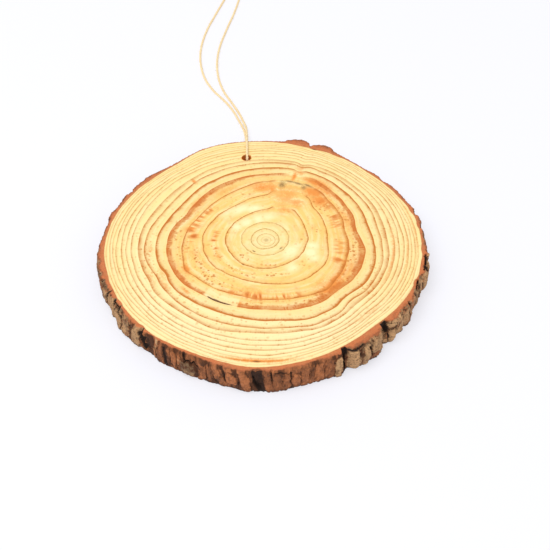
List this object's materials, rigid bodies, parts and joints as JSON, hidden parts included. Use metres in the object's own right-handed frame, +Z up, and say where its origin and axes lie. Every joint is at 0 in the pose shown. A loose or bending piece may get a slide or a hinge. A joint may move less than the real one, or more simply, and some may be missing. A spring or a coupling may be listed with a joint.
{
  "type": "wood log slice",
  "caption": "Round slice of a log lying flat, with bark round its rim and a small drilled hole that carries a loop of thin twine.",
  "frame": {"origin": "on the surface the slice lies on, under the middle of the slice, without its twine", "axes": "+Z up, across the slice's thickness; +Y from the middle of the slice towards the drilled hole and the twine; +X to the right"},
  "size_m": [0.0995, 0.2382, 0.0102],
  "materials": {
    "wood": "sawn across the grain and lightly sanded, dry, matt",
    "bark": "rough flaky bark",
    "twine": "two-ply jute, hairy and matt"
  },
  "bodies": {
    "root": {"wood": "wood", "bark": "bark", "twine_over": "twine", "twine_under": "twine", "twine_knot": "twine"}
  },
  "joints": []
}
